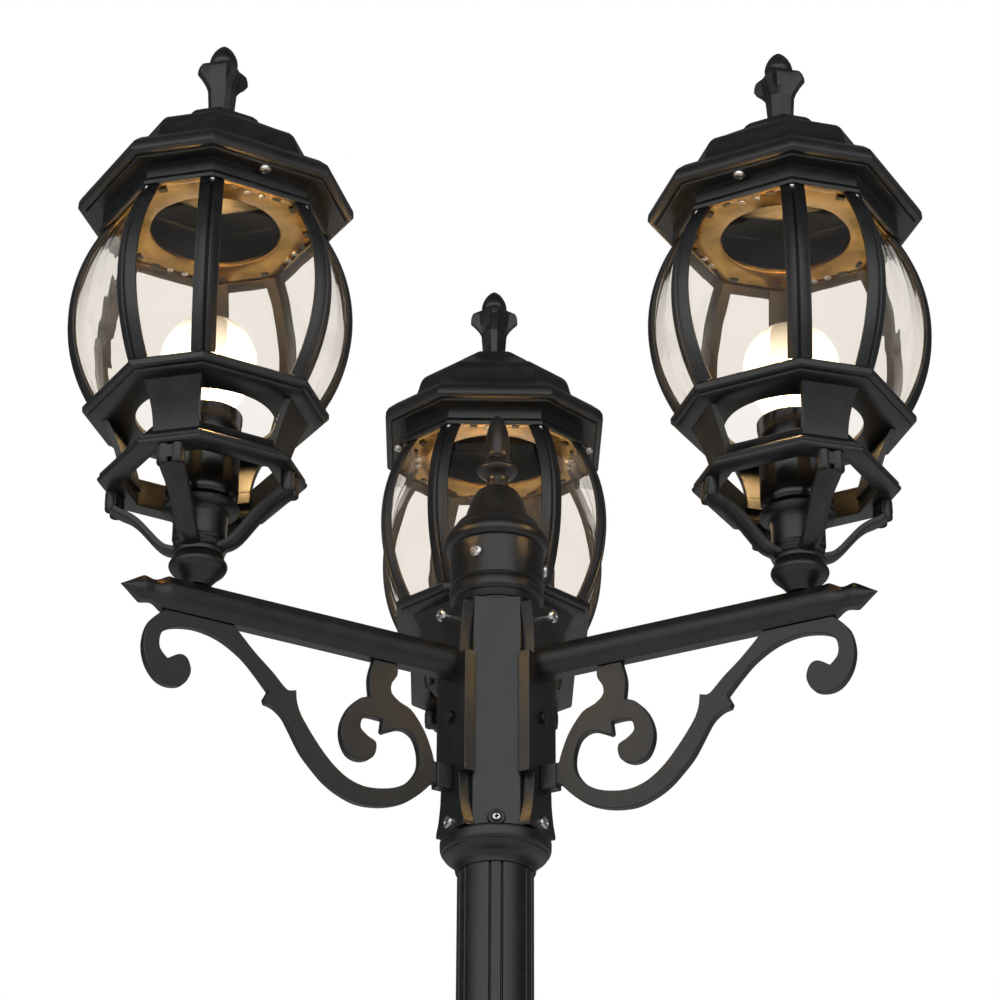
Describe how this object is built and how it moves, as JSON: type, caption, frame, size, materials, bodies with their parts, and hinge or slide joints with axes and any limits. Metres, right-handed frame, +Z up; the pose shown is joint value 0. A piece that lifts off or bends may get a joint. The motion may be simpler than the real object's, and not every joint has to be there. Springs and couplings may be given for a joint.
{
  "type": "triple head lamp post",
  "caption": "Tall garden lamp post with glazed lanterns on scrolled arms round one hub, on a fluted column with a bolt-down base.",
  "frame": {"origin": "centre of the anchor bolt circle on the base's underside, on the post's axis", "axes": "+Z up the post; the back arm points along +Y, the front arms to 210 and 330 degrees; X is across the front"},
  "size_m": [0.5422, 0.4838, 2.2],
  "materials": {
    "black_powder_coat": "fine-textured black powder coat on cast aluminium",
    "bare_aluminium": "plain rolled aluminium",
    "plated_screws": "bright plated steel",
    "clear_globe": "clear moulded glass",
    "bulb_glass": "clear bulb glass",
    "black_holder": "satin black moulding",
    "white_holder_core": "white holder insert",
    "bulb_cap_brass": "rolled brass screw cap"
  },
  "bodies": {
    "post": {"post_base": "black_powder_coat", "lower_column": "black_powder_coat", "column_coupling": "black_powder_coat", "column_spigot": "bare_aluminium", "upper_column": "black_powder_coat", "hub_collar": "black_powder_coat", "hub_casting": "black_powder_coat", "hub_cap": "black_powder_coat", "hub_finial": "black_powder_coat", "hub_screws": "plated_screws", "arm_screws": "plated_screws", "leg_screws": "plated_screws", "arm_bar_left": "black_powder_coat", "arm_plate_left": "black_powder_coat", "scroll_bracket_left": "black_powder_coat", "lantern_neck_left": "black_powder_coat", "leg_frame_left": "black_powder_coat", "basket_left": "black_powder_coat", "rib_cage_left": "black_powder_coat", "globe_left": "clear_globe", "reflector_left": "bare_aluminium", "eave_screws_left": "plated_screws", "lampholder_left": "black_holder", "socket_core_left": "white_holder_core", "arm_bar_right": "black_powder_coat", "arm_plate_right": "black_powder_coat", "scroll_bracket_right": "black_powder_coat", "lantern_neck_right": "black_powder_coat", "leg_frame_right": "black_powder_coat", "basket_right": "black_powder_coat", "rib_cage_right": "black_powder_coat", "globe_right": "clear_globe", "reflector_right": "bare_aluminium", "eave_screws_right": "plated_screws", "lampholder_right": "black_holder", "socket_core_right": "white_holder_core", "arm_bar_back": "black_powder_coat", "arm_plate_back": "black_powder_coat", "scroll_bracket_back": "black_powder_coat", "lantern_neck_back": "black_powder_coat", "leg_frame_back": "black_powder_coat", "basket_back": "black_powder_coat", "rib_cage_back": "black_powder_coat", "globe_back": "clear_globe", "reflector_back": "bare_aluminium", "eave_screws_back": "plated_screws", "lampholder_back": "black_holder", "socket_core_back": "white_holder_core"},
    "roof_left_body": {"roof_left": "black_powder_coat", "roof_finial_left": "black_powder_coat"},
    "bulb_left_body": {"bulb_base_left": "bulb_cap_brass", "bulb_glass_left": "bulb_glass"},
    "roof_right_body": {"roof_right": "black_powder_coat", "roof_finial_right": "black_powder_coat"},
    "bulb_right_body": {"bulb_base_right": "bulb_cap_brass", "bulb_glass_right": "bulb_glass"},
    "roof_back_body": {"roof_back": "black_powder_coat", "roof_finial_back": "black_powder_coat"},
    "bulb_back_body": {"bulb_base_back": "bulb_cap_brass", "bulb_glass_back": "bulb_glass"}
  },
  "joints": [
    {"name": "roof_left_lift", "type": "slide", "parent": "post", "child": "roof_left_body", "axis": [0, 0, 1], "range_m": [0, 0.09]},
    {"name": "bulb_left_unscrew", "type": "slide", "parent": "post", "child": "bulb_left_body", "axis": [0, 0, 1], "range_m": [0, 0.03]},
    {"name": "roof_right_lift", "type": "slide", "parent": "post", "child": "roof_right_body", "axis": [0, 0, 1], "range_m": [0, 0.09]},
    {"name": "bulb_right_unscrew", "type": "slide", "parent": "post", "child": "bulb_right_body", "axis": [0, 0, 1], "range_m": [0, 0.03]},
    {"name": "roof_back_lift", "type": "slide", "parent": "post", "child": "roof_back_body", "axis": [0, 0, 1], "range_m": [0, 0.09]},
    {"name": "bulb_back_unscrew", "type": "slide", "parent": "post", "child": "bulb_back_body", "axis": [0, 0, 1], "range_m": [0, 0.03]}
  ]
}
